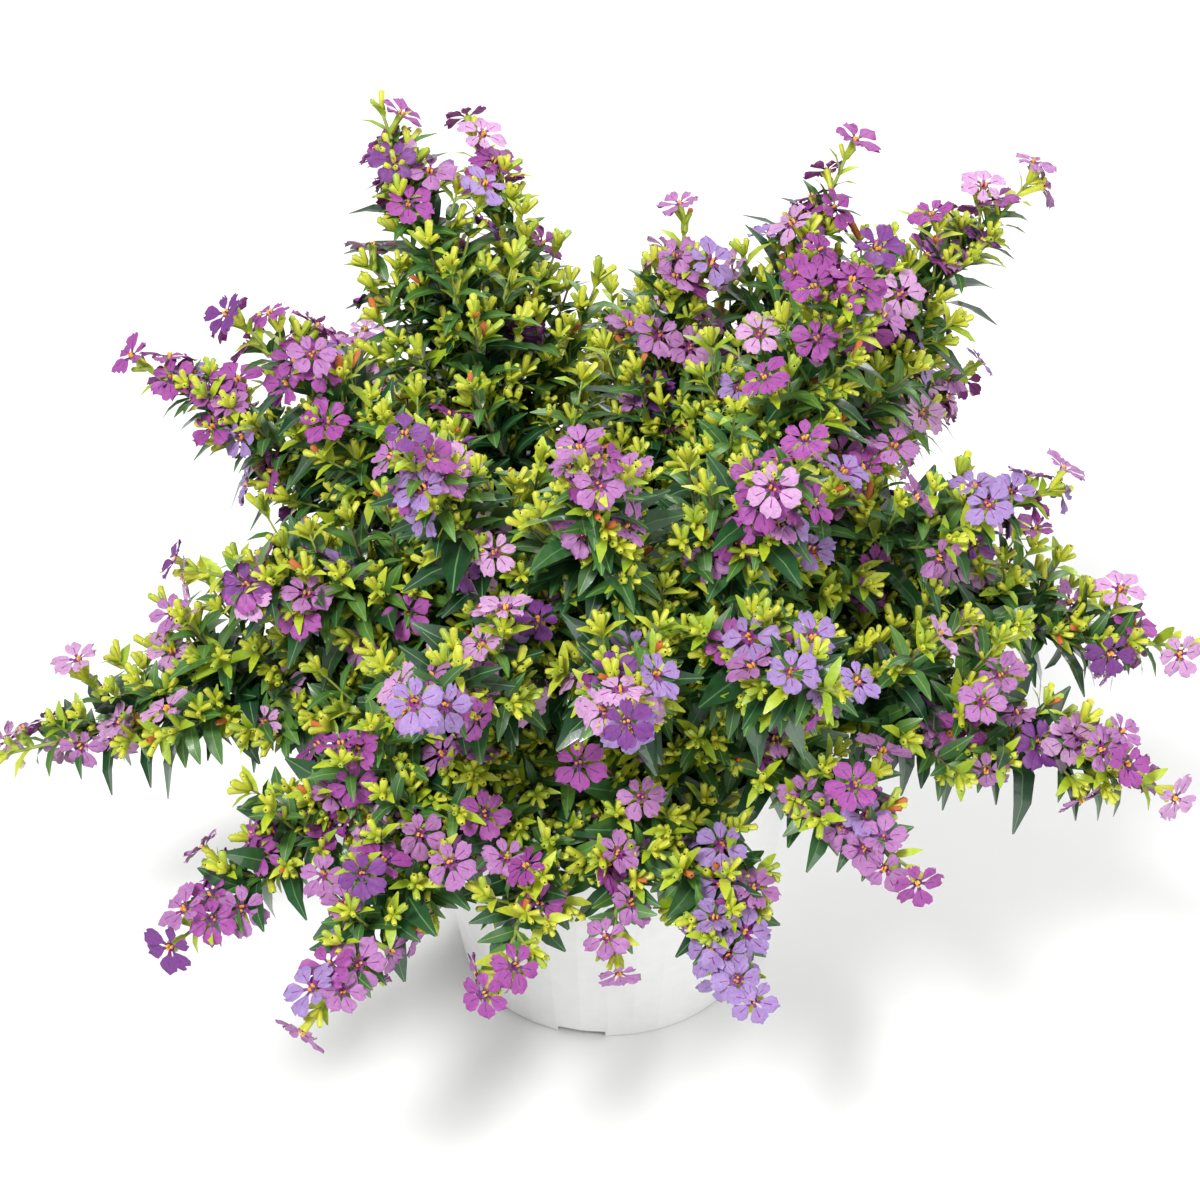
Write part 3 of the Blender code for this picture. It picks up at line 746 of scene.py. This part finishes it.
class Plant:
    """Grows the sprays by the seeded rule of the solids, carried on to finer twigs."""

    def __init__(self):
        self.leaves = leaf_batches()
        petals = petal_materials()
        pollen = material("pollen", (0.80, 0.42, 0.05), 0.6)
        calyx = [
            material("calyx_lime", (0.54, 0.57, 0.045), 0.42),
            material("calyx_green", (0.36, 0.46, 0.04), 0.42),
        ]
        withered = material("withered", (0.50, 0.14, 0.03), 0.7)
        twigs = [
            material("twig_young", (0.26, 0.33, 0.06), 0.5),
            material("twig_olive", (0.16, 0.14, 0.06), 0.6),
            material("twig_old", (0.085, 0.035, 0.045), 0.7, spread=0.3, grain=1500, bump=0.4),
        ]
        self.flowers = Batch("flowers", petals + [pollen] + calyx)
        self.buds = Batch("buds", calyx + [withered])
        self.capsules = Batch("seed_capsules", [material("seed_capsule", (0.78, 0.72, 0.42), 0.5)])
        self.twigs = Batch("twigs", twigs)
        chance = random.Random(SEED)
        self.ribbed = [unit_leaf(chance, True) for _ in range(LEAF_SHAPES)]
        self.plain = [unit_leaf(chance, False) for _ in range(LEAF_SHAPES)]
        self.flower_shapes = [unit_flower(chance) for _ in range(FLOWER_SHAPES)]
        self.bud_shapes = [unit_bud(chance) for _ in range(BUD_SHAPES)]
        self.capsule = ring_tube(CAPSULE_HEIGHTS, CAPSULE_RADII, CAPSULE_SIDES, 0)

    def start(self, owner):
        """Draws a spray's own tones: one for each age of leaf, and one for its petals."""
        self.chance = random.Random(SPRAY_SEED + owner)
        self.tones = [self.chance.choice(LEAF_TONES) for _ in self.leaves]
        self.petal = self.chance.choice(SPRAY_PETALS)

    def leaf(self, base, along, side, past):
        """A leaf at this distance from its twig's tip: the older, the larger and darker."""
        length = float(np.interp(past, LEAF_DISTANCES, LEAF_LENGTHS))
        length *= self.chance.uniform(*LEAF_RANGE)
        opening = math.radians(self.chance.uniform(*LEAF_OPENING)) * min(1, CLOSED_SHARE + past / OPEN_FROM)
        way = (along * math.cos(opening) + side * math.sin(opening)).normalized()
        facing = (UP * LEAF_FACES_UP + along * LEAF_FACES_ALONG - side * LEAF_FACES_STEM).normalized()
        if not inside(base + way * length):
            return
        if past < YOUNG_WITHIN:
            age = YOUNG
        elif past < MIDDLE_WITHIN:
            age = MIDDLE
        else:
            age = OLD
        shapes = self.plain if age == YOUNG else self.ribbed
        tone = self.tones[age] if self.chance.random() < OWN_LEAF_TONE else self.chance.choice(LEAF_TONES)
        width = length * LEAF_WIDTH * self.chance.uniform(*LEAF_RANGE)
        matrix = placing(base, way, facing, (width, length, length))
        self.leaves[age].add(self.chance.choice(shapes), matrix, (tone, RIB_SLOT))

    def flower(self, base, way):
        way = way.normalized()
        if not inside(base + way * FLOWER_REACH):
            return
        size = self.chance.uniform(*FLOWER_RANGE)
        tone = self.petal if self.chance.random() < OWN_PETAL_TONE else self.chance.choice(STRAY_PETALS)
        claw = CLAW_SLOT + (tone in STRONG_PETALS)
        green = TUBE_SLOT + self.chance.choice(CALYX_TONES)
        facing = UP + sideways(way, self.chance.uniform(0, math.tau)) * FLOWER_NOD
        matrix = placing(base, way, facing, (size, size, size))
        shape = self.chance.choice(self.flower_shapes)
        self.flowers.add(shape, matrix, (tone, claw, STAMEN_SLOT, green))

    def bud(self, base, way):
        way = way.normalized()
        if not inside(base + way * BUD_REACH):
            return
        size = self.chance.uniform(*BUD_RANGE)
        withered = self.chance.random() < WITHERED_CHANCE
        slot = WITHERED_SLOT if withered else self.chance.choice(BUD_TONES)
        shape = self.chance.choice(self.bud_shapes)
        self.buds.add(shape, placing(base, way, UP, (size, size, size)), (slot,))

    def tip(self, end, along, outer, order):
        """The end of a stem or twig: a tuft of buds, and often an open flower."""
        count = TIP_BUDS[order]
        roll = self.chance.uniform(0, math.tau)
        for turn in range(count):
            side = sideways(along, roll + turn * math.tau / count)
            self.bud(end, along + side * self.chance.uniform(*TIP_BUD_SPREAD))
        if self.chance.random() < outer * TIP_BLOOM[order]:
            side = sideways(along, self.chance.uniform(0, math.tau))
            self.flower(end, heading(along, side, TIP_FLOWER_WAY))

    def twig(self, base, way, length, order, radius, outer):
        """A side twig that turns up as it grows, with opposite leaves, finer twigs, flowers and buds."""
        steps = TWIG_POINTS - 1
        lift = self.chance.uniform(*TWIG_LIFT)
        points = []
        for step in range(TWIG_POINTS):
            share = step / steps
            points.append(base + way * length * share + UP * length * lift * share * share)
        if not inside(points[-1]) or not inside(points[TWIG_MIDDLE]):
            return
        radii = [radius * (1 - TWIG_TAPER * step / steps) for step in range(TWIG_POINTS)]
        green = length < GREEN_LENGTH or order > 1
        slot = GREEN_TWIG if green else self.chance.choice((GREEN_TWIG, OLIVE_TWIG))
        self.twigs.add_tube(tube(points, radii, TWIG_SIDES[order]), slot)
        count = max(1, int(length / PAIR_STEP[order]))
        roll = self.chance.uniform(0, math.tau)
        for index in range(count):
            share = (index + PAIR_FOOT) / (count + PAIR_TIP)
            place = share * steps
            low = min(int(place), steps - 1)
            spot = points[low].lerp(points[low + 1], place - low)
            along = (points[low + 1] - points[low]).normalized()
            roll += math.pi / 2 + self.chance.uniform(*TWIG_ROLL)
            self.on_twig(spot, along, length * (1 - share), roll, order, outer)
        self.tip(points[-1], (points[-1] - points[-2]).normalized(), outer, order)

    def on_twig(self, spot, along, past, roll, order, outer):
        """A pair of leaves on a twig, with a finer twig, a flower or a bud from their axils."""
        for turn in (0, math.pi):
            self.leaf(spot, along, sideways(along, roll + turn), past + PAIR_AGE[order])
        if order == 1 and past > SHOOT_SHORTEST and self.chance.random() < TWIG_CHANCE:
            side = sideways(along, roll + self.chance.choice((0, math.pi)))
            finer = min(TWIG_LONGEST, TWIG_SHARE * past) * self.chance.uniform(*TWIG_RANGE)
            self.twig(spot, heading(along, side, TWIG_WAY).normalized(), finer, 2, TWIG_RADIUS, outer)
        elif past < BLOOM_WITHIN and self.chance.random() < BLOOM_CHANCE[order] * outer:
            self.flower(spot, heading(along, sideways(along, roll + math.pi / 2), TWIG_FLOWER_WAY))
        elif past < BUDS_WITHIN and self.chance.random() < BUD_CHANCE * outer:
            self.bud(spot, heading(along, sideways(along, roll + math.pi / 2), BUD_WAY))

    def along_stem(self, path, bare):
        """Opposite pairs up the stem, each square to the last, with shoots where it isn't bare."""
        stem = path[STEM_START:]
        steps = [(b - a).length for a, b in zip(stem, stem[1:])]
        marks = np.cumsum([0, *steps])
        total = float(marks[-1])
        roll = self.chance.uniform(0, math.tau)
        place = FIRST_PAIR_AT
        while place < total - LAST_PAIR_SHORT:
            step = min(int(np.searchsorted(marks, place)), len(stem) - 1)
            along = (stem[step] - stem[step - 1]).normalized()
            base = stem[step] - along * (float(marks[step]) - place)
            roll += math.pi / 2 + self.chance.uniform(*STEM_ROLL)
            left = total - place
            outer = min(1, max(BLOOM_LEAST, (place / total - BLOOM_FROM) * BLOOM_SLOPE))
            grown = min(1, place / total / bare)
            for turn in (0, math.pi):
                self.on_stem(base, along, sideways(along, roll + turn), left, grown, outer)
            if self.chance.random() < CAPSULE_CHANCE:
                matrix = placing(base - UP * CAPSULE_DROP, DOWN, along, (1, 1, 1))
                self.capsules.add(self.capsule, matrix, (0,))
            place += STEM_STEP * (1 if left > STEM_TIP else STEM_TIP_STEP)
        self.tip(stem[-1], (stem[-1] - stem[-2]).normalized(), 1, 0)

    def on_stem(self, base, along, side, left, grown, outer):
        """One leaf of a pair on the stem, with a shoot or a flower from its axil."""
        self.leaf(base, along, side, left)
        length = min(SHOOT_LONGEST, SHOOT_SHARE * left) * self.chance.uniform(*SHOOT_RANGE)
        if length > SHOOT_SHORTEST and self.chance.random() < SHOOT_CHANCE * grown:
            way = heading(along, side, SHOOT_WAY).normalized()
            self.twig(base, way, length, 1, SHOOT_RADIUS, outer)
        elif self.chance.random() < STEM_FLOWER_CHANCE * grown * grown:
            self.flower(base, heading(along, side, STEM_FLOWER_WAY))

    def spray_stem(self, path):
        """The stem inside the spray, from its bough's end to its tip, browner towards its foot."""
        points = path[BOUGH_POINTS - 1 :: STEM_STRIDE]
        radii = taper(SPRAY_RADII, len(points))
        for first, last, slot in STEM_SPANS:
            self.twigs.add_tube(tube(points[first:last], radii[first:last], STEM_SIDES), slot)


BARK_RINGS = 40
TRUNK_SIDES = 24
BOUGH_SIDES = 10
BARK_RELIEF = 0.05


def make_bark(paths):
    """The main stem and boughs, with ridged bark."""
    chance = random.Random(BARK_SEED)
    old = material("bark_old", (0.085, 0.042, 0.040), 0.85, spread=0.45, grain=700, bump=0.9)
    young = material("bark_young", (0.095, 0.045, 0.050), 0.75, spread=0.35, grain=1100, bump=0.6)
    rings = [stem_at(float(height)) for height in np.linspace(0, STEM_PROFILE[-1][0], BARK_RINGS)]
    radii, points = zip(*rings)
    trunk = Batch("bark_stem", [old])
    trunk.add_tube(tube(points, radii, TRUNK_SIDES, BARK_RELIEF, chance), 0)
    boughs = Batch("bark_boughs", [young])
    for path in paths:
        fine = path[:BOUGH_POINTS]
        radii = taper(BOUGH_RADII, len(fine))
        boughs.add_tube(tube(fine, radii, BOUGH_SIDES, BARK_RELIEF, chance), 0)
    return trunk.pieces(), boughs.pieces()


CRUMBS = 1800
CRUMB_HEIGHTS = (0, 0.2, 0.7, 1.0)
CRUMB_RADII = (0.6, 1.0, 0.75, 0.1)
CRUMB_SIDES = 5
CRUMB_RANGE = (0.0006, 0.0020)
CRUMB_LEAN = (-0.4, 0.4)
CRUMB_FLATNESS = (0.6, 1)
CRUMB_SINK = 0.0004
CRUST_EDGE = 0.0055
PALE_CRUMBS = 0.25


def make_soil():
    """A crumbly crust over the soil, as lumps of many sizes, and the finish of the soil itself."""
    chance = random.Random(SOIL_SEED)
    dark = material("soil_dark", (0.030, 0.020, 0.014), 0.95, spread=0.5, grain=600, bump=1.0)
    pale = material("soil_pale", (0.085, 0.058, 0.040), 0.95, spread=0.5, grain=600, bump=1.0)
    batch = Batch("soil_crust", [dark, pale], smooth=False)
    lump = ring_tube(CRUMB_HEIGHTS, CRUMB_RADII, CRUMB_SIDES, 0)
    for _ in range(CRUMBS):
        radius = math.sqrt(chance.random()) * (POT_TOP_RADIUS - CRUST_EDGE)
        angle = chance.uniform(0, math.tau)
        size = chance.uniform(*CRUMB_RANGE)
        base = Vector((radius * math.cos(angle), radius * math.sin(angle), SOIL_LEVEL - CRUMB_SINK))
        along = Vector((chance.uniform(*CRUMB_LEAN), chance.uniform(*CRUMB_LEAN), 1)).normalized()
        facing = Vector((1, chance.uniform(-1, 1), 0))
        matrix = placing(base, along, facing, (size, size, size * chance.uniform(*CRUMB_FLATNESS)))
        batch.add(lump, matrix, (int(chance.random() < PALE_CRUMBS),))
    return batch.pieces(), dark


def ride(pieces, nodes=()):
    for piece in pieces:
        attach(piece, "root")
    if nodes:
        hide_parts(*nodes)


def refinish(node, made):
    node.data.materials.clear()
    node.data.materials.append(made)


def make_object():
    """Grows the plant on its limbs, and gives the pot and the soil their finish."""
    paths = all_paths()
    plant = Plant()
    for owner, (spray, path) in enumerate(zip(SPRAYS, paths)):
        plant.start(owner)
        plant.spray_stem(path)
        plant.along_stem(path, LOW_BARE_SHARE if spray[3] < LOW_RISE else BARE_SHARE)
    ride(plant.twigs.pieces(), [f"spray_{spray[0]}" for spray in SPRAYS])
    for batch in (*plant.leaves, plant.flowers, plant.buds, plant.capsules):
        ride(batch.pieces())
    trunk, boughs = make_bark(paths)
    ride(trunk, ["main_stem"])
    ride(boughs, [f"bough_{spray[0]}" for spray in SPRAYS])
    crust, soil = make_soil()
    ride(crust)
    refinish(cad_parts["potting_soil"], soil)
    plastic = material("pot_plastic", (0.80, 0.80, 0.79), 0.32, spread=0.02, grain=260, bump=0.03, coat=0.15)
    refinish(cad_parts["pot"], plastic)


def area_light(name, place, size, power):
    data = bpy.data.lights.new(name, "AREA")
    data.shape = "DISK"
    data.size = size
    data.energy = power
    light = bpy.data.objects.new(name, data)
    bpy.context.scene.collection.objects.link(light)
    light.location = place
    light.rotation_euler = (LIGHT_AIM - Vector(place)).to_track_quat("-Z", "Y").to_euler()


def make_studio():
    """A pale floor, an even white sky and three lights."""
    floor_mesh = bpy.data.meshes.new("floor")
    half = FLOOR_HALF
    corners = [(-half, -half, 0), (half, -half, 0), (half, half, 0), (-half, half, 0)]
    floor_mesh.from_pydata(corners, [], [(0, 1, 2, 3)])
    floor = bpy.data.objects.new("floor", floor_mesh)
    bpy.context.scene.collection.objects.link(floor)
    pale = material("floor_pale", (0.86, 0.86, 0.86), 0.8, spread=0.01, grain=30, bump=0.02)
    floor_mesh.materials.append(pale)
    world = bpy.context.scene.world or bpy.data.worlds.new("studio")
    bpy.context.scene.world = world
    world.use_nodes = True
    sky = world.node_tree.nodes["Background"]
    sky.inputs["Color"].default_value = (1, 1, 1, 1)
    sky.inputs["Strength"].default_value = SKY_STRENGTH
    for light in LIGHTS:
        area_light(*light)


def make_camera():
    """The camera at the photo's angle: from the front and above."""
    data = bpy.data.cameras.new("camera")
    data.lens = CAMERA_LENS
    data.sensor_width = SENSOR_WIDTH
    data.sensor_fit = "HORIZONTAL"
    data.clip_start = NEAREST_SEEN
    camera = bpy.data.objects.new("camera", data)
    bpy.context.scene.collection.objects.link(camera)
    back = Vector((0, -math.cos(CAMERA_ELEVATION), math.sin(CAMERA_ELEVATION)))
    camera.location = CAMERA_AIM + back * CAMERA_DISTANCE
    camera.rotation_euler = (-back).to_track_quat("-Z", "Y").to_euler()
    bpy.context.scene.camera = camera


make_camera()
make_studio()
make_object()
bpy.context.scene.view_settings.view_transform = "Standard"
bpy.context.view_layer.update()
